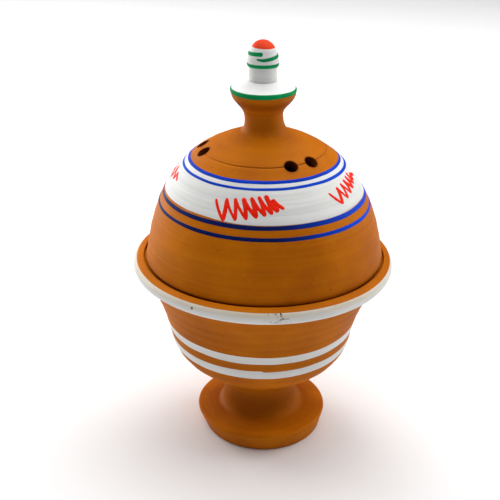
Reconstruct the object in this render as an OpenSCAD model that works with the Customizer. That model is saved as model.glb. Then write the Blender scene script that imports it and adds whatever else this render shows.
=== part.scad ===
// A footed clay pot with a domed, vented lid, made of five thrown pieces.
// Sizes are in millimetres. The origin is the centre of the face that the pot stands on,
// +Z runs up the pot's axis, and the front of the pot faces -Y.
// Every slope is an angle above the outward horizontal, read along the outline from foot to knob.

/* [Foot] */
// Radius of the foot where it meets the table
foot_base_r = 38.4; // [34:0.1:47]
// Radius of the foot at the top of its edge
foot_edge_r = 42; // [36:0.1:49]
// Height of the foot's edge
foot_edge_h = 12.9; // [9:0.1:14]
// Radius at which the top of the foot turns up into the stem
foot_shelf_r = 28.4; // [26:0.1:34]
// Height of the foot's top at that radius
foot_shelf_h = 14.5; // [14.1:0.1:17]
// Radius of the stem's waist
stem_waist_r = 23.8; // [20:0.1:25]
// Height of the stem's waist
stem_waist_h = 26; // [22:0.5:29]
// Height of the whole foot, up to the seam with the bowl
foot_h = 37.5; // [31:0.5:46]
// Radius of the seam between the foot and the bowl
foot_top_r = 25.4; // [25:0.1:30]
// Thickness of the stem's wall
foot_wall = 6; // [4:0.1:8]
// Width of the ring that the foot stands on
foot_ring_w = 8; // [6:0.1:12]

/* [Bowl] */
// Height of the bowl, from the seam to the top of its lip
bowl_h = 84.9; // [70:0.1:102]
// Slope of the bowl's underside where it leaves the seam
bowl_start_slope = 36.4; // [25:0.1:50]
// How far the belly stands inside the lip's outer radius
belly_in = 22.3; // [18:0.1:27]
// Height of the belly above the seam
belly_h = 33.4; // [28:0.1:40]
// Slope of the bowl's wall at the belly
belly_slope = 79.8; // [65:0.5:85]
// Slope of the bowl's wall just under the lip
bowl_end_slope = 64.2; // [55:0.1:75]
// Thickness of the bowl's wall
bowl_wall = 6; // [4:0.1:8]
// Thickness of the bowl's floor
bowl_floor = 7; // [5:0.1:9]

/* [Lip and gallery] */
// Outer radius of the lip, the widest part of the pot
lip_r = 80; // [66:0.1:96]
// Height of the lip's rounded edge
lip_h = 7.9; // [6.5:0.1:9.5]
// How far the lip stands out from the bowl's wall
lip_out = 8.4; // [7:0.1:10]
// How far the lip's top edge is rolled in from its outer radius
lip_roll = 1.9; // [1:0.1:3]
// Width of the lip's flat top
lip_top_w = 4.2; // [3:0.1:5]
// How far the lip's top climbs from its rolled edge to the gallery
lip_rise = 1; // [0:0.1:1.5]
// Depth of the gallery that the lid sits in, below the lip's inner edge
gallery_d = 2.6; // [2.2:0.1:3.6]
// Width of the gallery's ledge
ledge_w = 9; // [7:0.1:11]

/* [Lid] */
// Height of the lid's dome, from the ledge to the seam with the neck
dome_h = 79.1; // [66:0.1:95]
// Height of the dome's upright skirt
skirt_h = 3.1; // [2.7:0.1:5]
// Slope of the dome's wall where it leaves the skirt
dome_start_slope = 99.6; // [98:0.5:112]
// How far the dome's shoulder stands inside its skirt
shoulder_in = 18.1; // [15:0.1:22]
// Height of the shoulder above the dome's lower edge
shoulder_h = 52.9; // [45:0.1:63]
// Slope of the dome's wall at the shoulder
shoulder_slope = 125.6; // [116:0.1:132]
// Slope of the dome where it meets the neck
dome_end_slope = 160.3; // [150:0.1:164]
// Radius of the dome's rounded rim, on its outside
rim_round = 1.8; // [1.2:0.1:2.2]
// Thickness of the dome's wall
dome_wall = 5; // [3.8:0.1:6.2]

/* [Vents] */
// Diameter of a vent
vent_d = 7.8; // [6.5:0.1:9.5]
// Radius of the circle that the vents lie on
vent_circle_r = 36.7; // [30:0.1:44]
// Number of pairs of vents round the dome
vent_pairs = 3; // [2:1:4]
// Angle between the two vents of a pair
vent_spread = 22; // [17:0.5:27]
// Angle of the first pair from the front of the pot
vent_turn = 35; // [0:1:120]
// Lean of a vent away from upright, towards the axis at its lower end
vent_lean = 10; // [0:1:15]

/* [Neck and disc] */
// Radius of the seam between the dome and the neck
neck_foot_r = 15.7; // [14:0.1:19]
// Radius of the neck's waist
neck_waist_r = 11.3; // [9:0.1:13]
// Height of the neck's waist above the seam
neck_waist_h = 9.8; // [7.5:0.1:11]
// Height of the disc's lower edge above the seam
disc_under_h = 22.6; // [19:0.1:27]
// Radius of the disc
disc_r = 19.1; // [17:0.1:23]
// Slope of the neck where it meets the disc's lower edge
neck_end_slope = 72.5; // [60:0.5:82]
// Height of the disc's edge
disc_edge_h = 4; // [3:0.1:5]
// How far the disc's top climbs from its edge to the knob
disc_rise = 3.7; // [2.5:0.1:5]

/* [Knob] */
// Radius of the knob's stem
knob_stem_r = 8.1; // [6.5:0.1:8.6]
// Height of the knob's stem
knob_stem_h = 8; // [6:0.1:10]
// Largest radius of the egg on the stem
egg_r = 9.1; // [8.7:0.1:11]
// Height of the egg below its largest radius
egg_under_h = 2.4; // [1.5:0.1:3.5]
// Height of the egg above its largest radius
egg_over_h = 12.7; // [10:0.1:15.5]

/* [Edges and clearances] */
// Radius of the rounded edges on the foot, the disc and the inside of the dome's rim
edge_round = 1.2; // [0.6:0.1:1.5]
// Gap all round between the lid's skirt and the gallery's wall
lid_side_gap = 1.5; // [0.5:0.1:2.5]
// Gap under the lid's rim when the lid is on
lid_seat_gap = 0.3; // [0.2:0.1:1]

/* [Hidden] */

clay = [0.78, 0.45, 0.19];
white_slip = [0.93, 0.93, 0.9];

// Facets round a turned piece, chords in each curve of an outline, and chords in a rounded edge
round_fn = 96;
vent_fn = 40;
curve_steps = 12;
edge_steps = 4;
// How far a curve's handles reach, as a share of the distance between its ends
curve_pull = 0.38;

// Slope at which the foot's top turns up into the stem, and at which the stem meets the bowl
stem_start_slope = 165;
stem_end_slope = 45;
// Angle at which a rounded top edge gives way to the gentler slope above it
edge_end_angle = 75;
// Slopes of the lip where its edge starts, underneath, and where its edge ends, on top
lip_start_slope = 25;
lip_end_slope = 150;
// Height of the cove under the lip, and the lip's extra inset below, as shares of the lip's overhang
cove_share = 0.4;
lip_inset_share = 0.1;
// How much smaller the disc is at its lower edge than at its upper edge
disc_taper = 0.4;
// Slope at which the egg leaves the knob's stem
egg_start_slope = 60;
// How far the knob's seat stays flat past the knob's stem
seat_margin = 0.5;
// The least step between the bowl's curved inner wall and the flat floor or ledge that it meets
least_step = 0.5;

// Places worked out from the sizes above
bowl_top_z = foot_h + bowl_h;
gallery_r = lip_r - lip_roll - lip_top_w;
gallery_top_z = bowl_top_z + lip_rise;
ledge_z = gallery_top_z - gallery_d;
dome_bottom_z = ledge_z + lid_seat_gap;
dome_r = gallery_r - lid_side_gap;
dome_top_z = dome_bottom_z + dome_h;
disc_under_z = dome_top_z + disc_under_h;
disc_edge_top_z = disc_under_z + disc_edge_h;
knob_z = disc_edge_top_z + disc_rise;
knob_seat_r = knob_stem_r + seat_margin;

function tail(list) = [for (i = [1 : len(list) - 1]) list[i]];

function reversed(list) = [for (i = [len(list) - 1 : -1 : 0]) list[i]];

// A cubic curve from p, leaving at angle a, to q, arriving at angle b, moved sideways by inset.
// A positive inset moves it to the left of the way it runs, which is towards the pot's axis.
function curve(p, a, q, b, inset = 0, steps = curve_steps) =
    let (
        pull = curve_pull * norm(q - p),
        p1 = p + pull * [cos(a), sin(a)],
        q1 = q - pull * [cos(b), sin(b)]
    )
    [
        for (i = [0 : steps])
            let (
                t = i / steps,
                u = 1 - t,
                on_curve = u * u * u * p + 3 * u * u * t * p1 + 3 * u * t * t * q1 + t * t * t * q,
                run = u * u * (p1 - p) + 2 * u * t * (q1 - p1) + t * t * (q - q1)
            )
            on_curve + inset * [-run[1], run[0]] / norm(run)
    ];

// A quarter round of the given radius about a centre, from one angle to another.
function quarter(centre, radius, from, to) =
    [for (i = [0 : edge_steps]) let (a = from + (to - from) * i / edge_steps)
        centre + radius * [cos(a), sin(a)]];

// Places the children at every vent, with the dome's wall at their origin.
module at_vents(wall_z) {
    for (pair = [0 : vent_pairs - 1], side = [-0.5, 0.5]) {
        rotate([0, 0, vent_turn + 360 * pair / vent_pairs + side * vent_spread - 90])
            translate([vent_circle_r, 0, wall_z])
                rotate([0, vent_lean, 0])
                    children();
    }
}

module turned(outline) {
    rotate_extrude($fn = round_fn) polygon(outline);
}

// The foot: a thick plate, hollowed as a cone from below, that rises into a hollow stem.
module foot() {
    base_round = quarter([foot_base_r - edge_round, edge_round], edge_round, -90, 0);
    top_centre = [foot_edge_r - edge_round, foot_edge_h - edge_round];
    top_round = quarter(top_centre, edge_round, 0, edge_end_angle);
    stem = concat(
        curve([foot_shelf_r, foot_shelf_h], stem_start_slope, [stem_waist_r, stem_waist_h], 90),
        tail(curve([stem_waist_r, stem_waist_h], 90, [foot_top_r, foot_h], stem_end_slope))
    );
    bore_r = stem_waist_r - foot_wall;
    hollow = [
        [bore_r, foot_h],
        [bore_r, stem_waist_h - foot_wall],
        [foot_base_r - foot_ring_w, 0]
    ];
    color(clay) turned(concat(base_round, top_round, stem, hollow));
}

// The bowl: a flat seam on the foot, an S-shaped wall, and a rolled lip with a gallery inside it.
module bowl() {
    wall_top_r = lip_r - lip_out;
    lip_under_z = bowl_top_z - lip_h;
    seam = [foot_top_r, foot_h];
    belly = [lip_r - belly_in, foot_h + belly_h];
    wall_top = [wall_top_r, lip_under_z - cove_share * lip_out];
    lip_start = [lip_r - lip_roll - lip_inset_share * lip_out, lip_under_z];
    lip_widest = [lip_r, lip_under_z + lip_h / 2];
    lip_end = [lip_r - lip_roll, bowl_top_z];
    outside = concat(
        curve(seam, bowl_start_slope, belly, belly_slope),
        tail(curve(belly, belly_slope, wall_top, bowl_end_slope)),
        tail(curve(wall_top, bowl_end_slope, lip_start, lip_start_slope, steps = edge_steps)),
        tail(curve(lip_start, lip_start_slope, lip_widest, 90, steps = edge_steps)),
        tail(curve(lip_widest, 90, lip_end, lip_end_slope, steps = edge_steps))
    );
    gallery = [
        [gallery_r, gallery_top_z],
        [gallery_r, ledge_z],
        [gallery_r - ledge_w, ledge_z]
    ];
    floor_z = foot_h + bowl_floor;
    inner_wall = concat(
        curve(seam, bowl_start_slope, belly, belly_slope, bowl_wall),
        tail(curve(belly, belly_slope, wall_top, bowl_end_slope, bowl_wall))
    );
    inside = [
        for (p = reversed(inner_wall))
            if (p[1] > floor_z + least_step && p[1] < ledge_z - least_step)
                p
    ];
    color(clay) turned(concat([[0, foot_h]], outside, gallery, inside, [[0, floor_z]]));
}

// The outline of the dome's outside, or of its inside when it is inset by the wall.
function dome_outline(inset) =
    let (
        skirt_top = [dome_r, dome_bottom_z + skirt_h],
        shoulder = [dome_r - shoulder_in, dome_bottom_z + shoulder_h],
        top = [neck_foot_r, dome_top_z]
    )
    concat(
        curve(skirt_top, dome_start_slope, shoulder, shoulder_slope, inset),
        tail(curve(shoulder, shoulder_slope, top, dome_end_slope, inset))
    );

// The lid's dome: an open shell with a rounded rim, closed at the top, pierced by pairs of vents.
module lid_dome() {
    outside = dome_outline(0);
    inside = dome_outline(dome_wall);
    inner_r = dome_r - dome_wall;
    rim = concat(
        quarter([inner_r + edge_round, dome_bottom_z + edge_round], edge_round, 180, 270),
        quarter([dome_r - rim_round, dome_bottom_z + rim_round], rim_round, -90, 0)
    );
    ceiling = inside[len(inside) - 1];
    vent_wall_z = (lookup(vent_circle_r, outside) + lookup(vent_circle_r, inside)) / 2;
    color(clay) difference() {
        turned(concat(rim, outside, [[0, dome_top_z], [0, ceiling[1]]], reversed(inside)));
        at_vents(vent_wall_z)
            cylinder(h = 4 * dome_wall, d = vent_d, center = true, $fn = vent_fn);
    }
}

// The neck: a solid spool that flares up into a disc with a gently coned top.
module lid_neck() {
    start = [neck_foot_r, dome_top_z];
    waist = [neck_waist_r, dome_top_z + neck_waist_h];
    disc_under = [disc_r - disc_taper, disc_under_z];
    disc_widest = [disc_r, disc_edge_top_z - edge_round];
    neck = concat(
        curve(start, dome_end_slope, waist, 90),
        tail(curve(waist, 90, disc_under, neck_end_slope))
    );
    disc_edge = quarter(disc_widest - [edge_round, 0], edge_round, 0, edge_end_angle);
    top = [[knob_seat_r, knob_z], [0, knob_z]];
    color(clay) turned(concat([[0, dome_top_z]], neck, disc_edge, top));
}

// The knob: a short stem with an egg on it.
module knob() {
    egg_z = knob_z + knob_stem_h + egg_under_h;
    seat = [[0, knob_z], [knob_stem_r, knob_z]];
    stem_top = [knob_stem_r, knob_z + knob_stem_h];
    egg_under = curve(stem_top, egg_start_slope, [egg_r, egg_z], 90, steps = edge_steps);
    egg = [
        for (i = [1 : curve_steps])
            let (a = 90 * i / curve_steps)
            [egg_r * cos(a), egg_z + egg_over_h * sin(a)]
    ];
    color(white_slip) turned(concat(seat, egg_under, egg));
}

foot();
bowl();
lid_dome();
lid_neck();
knob();
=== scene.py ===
"""A footed clay pot with a domed, vented lid and hand-painted bands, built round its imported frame."""

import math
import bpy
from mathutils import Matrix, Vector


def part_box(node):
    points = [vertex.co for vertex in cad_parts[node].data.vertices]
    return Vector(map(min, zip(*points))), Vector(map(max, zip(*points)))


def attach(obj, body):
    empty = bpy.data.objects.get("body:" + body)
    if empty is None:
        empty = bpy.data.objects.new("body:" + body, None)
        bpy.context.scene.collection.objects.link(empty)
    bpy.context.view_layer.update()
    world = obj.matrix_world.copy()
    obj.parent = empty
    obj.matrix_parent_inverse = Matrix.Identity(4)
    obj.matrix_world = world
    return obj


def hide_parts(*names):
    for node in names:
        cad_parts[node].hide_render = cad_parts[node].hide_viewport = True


bl_info = {
    "name": "Footed Clay Pot",
    "version": (1, 0, 0),
    "blender": (4, 5, 0),
    "location": "3D View > Sidebar > Pot",
    "description": "Throws the clay of a footed, lidded pot and paints its bands, scribbles and knob",
    "category": "Object",
}

import bpy
import numpy as np
from bpy.props import FloatProperty, FloatVectorProperty, IntProperty, PointerProperty
from bpy.types import Operator, Panel, PropertyGroup
from mathutils import Euler, Vector

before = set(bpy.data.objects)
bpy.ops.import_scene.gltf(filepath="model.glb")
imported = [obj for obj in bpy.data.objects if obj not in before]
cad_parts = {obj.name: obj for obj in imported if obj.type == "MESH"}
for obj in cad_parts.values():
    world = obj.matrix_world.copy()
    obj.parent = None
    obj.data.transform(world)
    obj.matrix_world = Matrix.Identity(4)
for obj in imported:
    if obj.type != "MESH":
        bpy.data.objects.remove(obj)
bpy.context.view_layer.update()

MM = 0.001
FOOT_LO, FOOT_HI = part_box("foot")
BOWL_LO, BOWL_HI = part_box("bowl")
DOME_LO, DOME_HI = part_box("lid_dome")
NECK_LO, NECK_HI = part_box("lid_neck")
KNOB_LO, KNOB_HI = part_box("knob")

# How far a curve's handles reach, as a share of the distance between its ends.
CURVE_PULL = 0.38
# Rows and columns of the clay's grids, in metres and in columns round the pot.
ROW_STEP = 0.9 * MM
FINE_STEP = 0.25 * MM
COLUMNS = 384
SHARP_ANGLE = math.radians(40)
# Outlines that close on the axis stop this far from it, and a pole closes them.
AXIS_GAP = 0.4 * MM
# Slopes at which the foot's stem leaves its top and reaches the seam.
STEM_START_SLOPE, STEM_END_SLOPE = math.radians(165), math.radians(45)
# Angles between which the foot's edge and the rims are rounded, in degrees.
EDGE_START, FOOT_EDGE_END = -10, 78
# Slopes of the lip under its edge and where it ends on top.
LIP_START_SLOPE, LIP_END_SLOPE = math.radians(25), math.radians(140)
# The cove under the lip and the lip's inset there, as shares of its overhang.
COVE_SHARE, LIP_INSET_SHARE = 0.4, 0.1
# How much painted shade darkens the foot's stem, the neck and the dome's skirt, from 0 to 1.
STEM_PAINTED_SHADE, NECK_PAINTED_SHADE, RIM_PAINTED_SHADE = 0.5, 0.5, 0.95
# The same for the inside of the dome.
INSIDE_PAINTED_SHADE = 0.5


# ---------------------------------------------------------------- sizes and colours a user would change


def length(name, description, default):
    return FloatProperty(
        name=name, description=description, default=default, unit="LENGTH", subtype="DISTANCE", precision=4
    )


def angle(name, description, degrees):
    return FloatProperty(
        name=name, description=description, default=math.radians(degrees), unit="ROTATION", subtype="ANGLE"
    )


def colour(name, description, default):
    return FloatVectorProperty(
        name=name, description=description, default=default, subtype="COLOR", size=3, min=0, max=1
    )


class PotClay(PropertyGroup):
    """Sizes of the thrown clay. What the frame's boxes give is read from them and isn't repeated here."""

    foot_base_r: length("Foot base radius", "Radius of the foot where it meets the table", 38.4 * MM)
    foot_edge_h: length("Foot edge height", "Height of the foot's edge", 12.9 * MM)
    foot_shelf_r: length("Foot shelf radius", "Radius where the foot's top turns up into the stem", 28.4 * MM)
    foot_shelf_h: length("Foot shelf height", "Height of the foot's top at that radius", 14.5 * MM)
    waist_r: length("Stem waist radius", "Radius of the stem's waist", 23.8 * MM)
    waist_h: length("Stem waist height", "Height of the stem's waist", 26 * MM)
    seam_r: length("Seam radius", "Radius of the seam between foot and bowl", 25.4 * MM)
    foot_wall: length("Stem wall", "Thickness of the stem's wall", 6 * MM)
    foot_ring_w: length("Foot ring width", "Width of the ring the pot stands on", 8 * MM)
    bowl_start: angle("Bowl underside slope", "Slope of the bowl's underside at the seam", 36.4)
    belly_in: length("Belly inset", "How far the belly stands inside the lip", 22.3 * MM)
    belly_h: length("Belly height", "Height of the belly above the seam", 33.4 * MM)
    belly_slope: angle("Belly slope", "Slope of the bowl's wall at the belly", 79.8)
    bowl_end: angle("Bowl top slope", "Slope of the bowl's wall under the lip", 64.2)
    bowl_wall: length("Bowl wall", "Thickness of the bowl's wall", 6 * MM)
    bowl_floor: length("Bowl floor", "Thickness of the bowl's floor", 7 * MM)
    lip_h: length("Lip height", "Height of the lip's rounded edge", 7.9 * MM)
    lip_out: length("Lip overhang", "How far the lip stands out from the wall", 8.4 * MM)
    lip_roll: length("Lip roll", "How far the lip's top edge is rolled in", 1.9 * MM)
    lip_top_w: length("Lip top width", "Width of the lip's top", 4.2 * MM)
    lip_rise: length("Lip rise", "How far the lip's top climbs towards the gallery", 1 * MM)
    gallery_d: length("Gallery depth", "Depth of the gallery the lid sits in", 2.6 * MM)
    ledge_w: length("Ledge width", "Width of the gallery's ledge", 9 * MM)
    skirt_h: length("Skirt height", "Height of the dome's upright skirt", 3.1 * MM)
    rim_round: length("Rim rounding", "Radius of the dome's rounded rim", 1.8 * MM)
    dome_start: angle("Dome start slope", "Slope of the dome where it leaves the skirt", 99.6)
    shoulder_in: length("Shoulder inset", "How far the dome's shoulder stands inside its skirt", 18.1 * MM)
    shoulder_h: length("Shoulder height", "Height of the shoulder above the dome's lower edge", 52.9 * MM)
    shoulder_slope: angle("Shoulder slope", "Slope of the dome at its shoulder", 125.6)
    dome_end: angle("Dome end slope", "Slope of the dome where it meets the neck", 160.3)
    dome_wall: length("Dome wall", "Thickness of the dome's wall", 5 * MM)
    neck_foot_r: length("Neck foot radius", "Radius of the seam between dome and neck", 15.7 * MM)
    neck_waist_r: length("Neck waist radius", "Radius of the neck's waist", 11.3 * MM)
    neck_waist_h: length("Neck waist height", "Height of the neck's waist above its seam", 9.8 * MM)
    disc_under_h: length("Disc lower edge", "Height of the disc's lower edge above the seam", 22.6 * MM)
    neck_end: angle("Neck end slope", "Slope of the neck at the disc's lower edge", 72.5)
    disc_edge_h: length("Disc edge height", "Height of the disc's edge", 4 * MM)
    stem_r: length("Knob stem radius", "Radius of the knob's stem", 8.1 * MM)
    stem_h: length("Knob stem height", "Height of the knob's stem", 8 * MM)
    egg_under_h: length("Egg underside", "Height of the egg below its largest radius", 2.4 * MM)
    edge_round: length("Edge rounding", "Radius of the rounded edges", 1.2 * MM)
    vent_d: length("Vent diameter", "Diameter of a vent", 7.8 * MM)
    vent_circle_r: length("Vent circle radius", "Radius of the circle that the vents lie on", 36.7 * MM)
    vent_pairs: IntProperty(name="Vent pairs", description="Pairs of vents round the dome", default=3, min=1)
    vent_spread: angle("Vent spread", "Angle between the two vents of a pair", 22)
    vent_turn: angle("Vent turn", "Angle of the first pair from the front of the pot", 35)


class PotPaint(PropertyGroup):
    """Heights of the painted bands, the thickness of the paint, and the colours."""

    film: length("Paint thickness", "Thickness of one coat of paint", 0.12 * MM)
    bowl_band_low: length("Lower bowl band", "Height of the lower band's middle", 68.2 * MM)
    bowl_band_high: length("Upper bowl band", "Height of the upper band's middle", 79.9 * MM)
    bowl_band_w: length("Bowl band width", "Width of each band on the bowl", 6.1 * MM)
    white_low: length("White field, lower edge", "Height at which the lid's white field begins", 165.6 * MM)
    white_high: length("White field, upper edge", "Height at which the lid's white field ends", 185.2 * MM)
    rings_z: FloatVectorProperty(
        name="Blue rings", description="Heights of the blue rings' middles", size=4,
        default=(158.7 * MM, 164.6 * MM, 182.0 * MM, 185.0 * MM), subtype="XYZ_LENGTH",
    )
    rings_w: FloatVectorProperty(
        name="Blue ring widths", description="Widths of the blue rings", size=4,
        default=(2.2 * MM, 2.6 * MM, 2.1 * MM, 2.1 * MM), subtype="XYZ_LENGTH",
    )
    clay: colour("Clay", "Fired clay", (0.57, 0.160, 0.0))
    clay_dark: colour("Dark clay", "Clay where it fired darker", (0.37, 0.088, 0.0))
    clay_pale: colour("Pale clay", "Chalky clay on rubbed edges", (0.72, 0.27, 0.03))
    # Painted shade: the dark colour that the clay is mixed towards under the bowl and the disc, in the
    # groove, on the lid's rim, round and in the vents and inside the dome.
    painted_shade: colour("Grime", "Smoke and soot in the clay", (0.085, 0.012, 0.001))
    beige: colour("Worn white", "White paint rubbed down to a beige", (0.66, 0.58, 0.45))
    white: colour("White", "White slip paint", (0.79, 0.79, 0.77))
    # A lit copy of the white: painted light that makes the disc's upward top brighter than the other white
    # paint.
    lit_white: colour("Fresh white", "White paint on the disc", (0.92, 0.92, 0.91))
    blue: colour("Blue", "Blue paint", (0.0, 0.055, 0.60))
    # A shaded copy of the blue: painted shade on the lower rings' front and left, passing to the lit blue on
    # the right.
    shaded_blue: colour("Navy", "Blue paint where it lies thick", (0.002, 0.012, 0.11))
    green: colour("Green", "Green paint", (0.0, 0.30, 0.085))
    red: colour("Red", "Red paint", (0.95, 0.020, 0.004))
    cap_red: colour("Cap red", "Red paint on top of the knob", (0.90, 0.065, 0.018))


def clay():
    return bpy.context.scene.pot_clay


def paint():
    return bpy.context.scene.pot_paint


# ---------------------------------------------------------------- outlines


def curve(p, a, q, b, steps=40):
    """A cubic from p, leaving at angle a, to q, arriving at angle b. Each handle's length is CURVE_PULL of
    the chord."""
    p, q = np.array(p, float), np.array(q, float)
    pull = CURVE_PULL * np.hypot(*(q - p))
    p1 = p + pull * np.array([math.cos(a), math.sin(a)])
    q1 = q - pull * np.array([math.cos(b), math.sin(b)])
    t = np.linspace(0, 1, steps + 1)[:, None]
    u = 1 - t
    return u**3 * p + 3 * u * u * t * p1 + 3 * u * t * t * q1 + t**3 * q


def arc(centre, radius, start, end, steps=6):
    """Part of a circle: centre + radius * (cos, sin), with even steps of the angle from start to end, which
    are in degrees."""
    a = np.radians(np.linspace(start, end, steps + 1))
    return np.array(centre) + radius * np.stack([np.cos(a), np.sin(a)], 1)


def sideways(run, distance):
    """The run moved by a distance to its left: each point goes along the run's own normal (-dz, dr)."""
    d = np.gradient(run, axis=0)
    n = np.stack([-d[:, 1], d[:, 0]], 1) / np.hypot(d[:, 0], d[:, 1])[:, None]
    return run + distance * n


def respaced(run, step=ROW_STEP):
    """The run's points set evenly along its length, about a step apart, with its two ends kept."""
    run = np.array(run, float)
    s = np.concatenate([[0], np.cumsum(np.hypot(*np.diff(run, axis=0).T))])
    even = np.linspace(0, s[-1], max(2, int(round(s[-1] / step)) + 1))
    return np.stack([np.interp(even, s, run[:, 0]), np.interp(even, s, run[:, 1])], 1)


def joined(*runs):
    """Runs end to end, without the point that one shares with the next."""
    out = [np.array(runs[0], float)]
    for run in runs[1:]:
        run = np.array(run, float)
        shared = np.hypot(*(run[0] - out[-1][-1])) < 1e-7
        out.append(run[1:] if shared else run)
    return np.vstack(out)


class Outline:
    """Half of a turned shape's outline, with the outside on its right, and the length along it."""

    def __init__(self, points):
        self.points = np.array(points, float)
        gaps = np.hypot(*np.diff(self.points, axis=0).T)
        self.along = np.concatenate([[0], np.cumsum(gaps)])
        d = np.gradient(self.points, self.along, axis=0)
        self.out = np.stack([d[:, 1], -d[:, 0]], 1) / np.hypot(d[:, 0], d[:, 1])[:, None]

    def at(self, along):
        """Radius, height and outward normal at lengths along the outline."""
        columns = (self.points[:, 0], self.points[:, 1], self.out[:, 0], self.out[:, 1])
        return [np.interp(along, self.along, c) for c in columns]

    def along_z(self, z):
        """Length along the outline at which it first reaches a height."""
        return float(np.interp(z, self.points[:, 1], self.along))


def foot_outline():
    c = clay()
    edge_r, foot_h = FOOT_HI.x, FOOT_HI.z
    r = c.edge_round
    bore_r = c.waist_r - c.foot_wall
    inner_base = c.foot_base_r - c.foot_ring_w
    base = arc([c.foot_base_r - r, r], r, -90, EDGE_START)
    edge = arc([edge_r - r, c.foot_edge_h - r], r, EDGE_START, FOOT_EDGE_END)
    shelf = respaced([edge[-1], [c.foot_shelf_r, c.foot_shelf_h]])
    waist = [c.waist_r, c.waist_h]
    up = respaced(curve([c.foot_shelf_r, c.foot_shelf_h], STEM_START_SLOPE, waist, math.pi / 2))
    flare = respaced(curve(waist, math.pi / 2, [c.seam_r, foot_h], STEM_END_SLOPE))
    bore = respaced([[bore_r, foot_h], [bore_r, c.waist_h - c.foot_wall]], 2 * MM)
    cone = respaced([bore[-1], [inner_base, 0]], 2 * MM)
    ring = respaced([[inner_base, 0], base[0]], 2 * MM)[:-1]
    side = respaced([base[-1], edge[0]])
    seam = respaced([flare[-1], bore[0]], 2 * MM)
    return joined(base, side, edge, shelf, up, flare, seam, bore, cone, ring)


def bowl_walls():
    """The outside of the bowl's wall, from the seam up to the cove under the lip."""
    c = clay()
    lip_r, foot_h, top = BOWL_HI.x, BOWL_LO.z, BOWL_HI.z - c.lip_rise
    belly = [lip_r - c.belly_in, foot_h + c.belly_h]
    cove_h = COVE_SHARE * c.lip_out
    wall_top = [lip_r - c.lip_out, top - c.lip_h - cove_h]
    lower = curve([c.seam_r, foot_h], c.bowl_start, belly, c.belly_slope)
    return joined(lower, curve(belly, c.belly_slope, wall_top, c.bowl_end))


def lip_run():
    """The cove under the lip and the lip's rounded edge."""
    c = clay()
    lip_r, top = BOWL_HI.x, BOWL_HI.z - c.lip_rise
    under = top - c.lip_h
    start = [lip_r - c.lip_roll - LIP_INSET_SHARE * c.lip_out, under]
    widest = [lip_r, under + c.lip_h / 2]
    cove = curve(bowl_walls()[-1], c.bowl_end, start, LIP_START_SLOPE)
    roll = curve(start, LIP_START_SLOPE, widest, math.pi / 2)
    return joined(cove, roll, curve(widest, math.pi / 2, [lip_r - c.lip_roll, top], LIP_END_SLOPE))


def bowl_outline():
    c = clay()
    foot_h, top = BOWL_LO.z, BOWL_HI.z
    gallery_r = BOWL_HI.x - c.lip_roll - c.lip_top_w
    ledge_z = top - c.gallery_d
    floor_z = foot_h + c.bowl_floor
    inner = sideways(bowl_walls(), c.bowl_wall)[::-1]
    inner = inner[(inner[:, 1] > floor_z + 0.5 * MM) & (inner[:, 1] < ledge_z - 0.5 * MM)]
    lip = lip_run()
    soft = 0.5 * MM
    corner = arc([gallery_r + soft, top - soft], soft, 90, 180, 4)
    return joined(
        respaced([[AXIS_GAP, foot_h], [c.seam_r, foot_h]], 3 * MM),
        respaced(bowl_walls()),
        respaced(lip, 0.5 * MM),
        respaced([lip[-1], corner[0]], 0.7 * MM),
        corner,
        respaced([corner[-1], [gallery_r, ledge_z]]),
        respaced([[gallery_r, ledge_z], [gallery_r - c.ledge_w, ledge_z]]),
        respaced(inner, 1.5 * MM),
        respaced([inner[-1], [AXIS_GAP, floor_z]], 3 * MM),
    )


def dome_wall_run():
    """The outside of the dome, from its skirt up to the neck."""
    c = clay()
    dome_r, low = DOME_HI.x, DOME_LO.z
    skirt_top = [dome_r, low + c.skirt_h]
    shoulder = [dome_r - c.shoulder_in, low + c.shoulder_h]
    top = [c.neck_foot_r, DOME_HI.z]
    lower = curve(skirt_top, c.dome_start, shoulder, c.shoulder_slope)
    return joined(lower, curve(shoulder, c.shoulder_slope, top, c.dome_end))


def dome_outside():
    """The dome's outside with its upright skirt, for the shell and for what is painted on it."""
    c = clay()
    skirt = [[DOME_HI.x, DOME_LO.z + c.rim_round], [DOME_HI.x, DOME_LO.z + c.skirt_h]]
    return Outline(joined(respaced(skirt, 0.8 * MM), dome_wall_run()))


def neck_side():
    """The neck's outside, from the seam with the dome up to the disc's edge and over it to the knob."""
    c = clay()
    low = NECK_LO.z
    disc_r = NECK_HI.x
    edge_top = low + c.disc_under_h + c.disc_edge_h
    waist = [c.neck_waist_r, low + c.neck_waist_h]
    under = [disc_r - 0.4 * MM, low + c.disc_under_h]
    widest = [disc_r - c.edge_round, edge_top - c.edge_round]
    side = joined(
        curve([c.neck_foot_r, low], c.dome_end, waist, math.pi / 2),
        curve(waist, math.pi / 2, under, c.neck_end),
    )
    edge = arc(widest, c.edge_round, 0, 68)
    seat = [c.stem_r + 0.5 * MM, NECK_HI.z]
    return joined(
        respaced(side, 0.5 * MM),
        respaced([side[-1], edge[0]], 0.5 * MM),
        edge,
        respaced([edge[-1], seat], 0.5 * MM),
        respaced([seat, [c.stem_r - 1 * MM, NECK_HI.z]], 0.5 * MM),
    )


def neck_outline():
    side = neck_side()
    bottom = respaced([[AXIS_GAP, NECK_LO.z], side[0]], 2 * MM)
    return joined(bottom, side, respaced([side[-1], [AXIS_GAP, NECK_HI.z]], 1.5 * MM))


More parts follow.
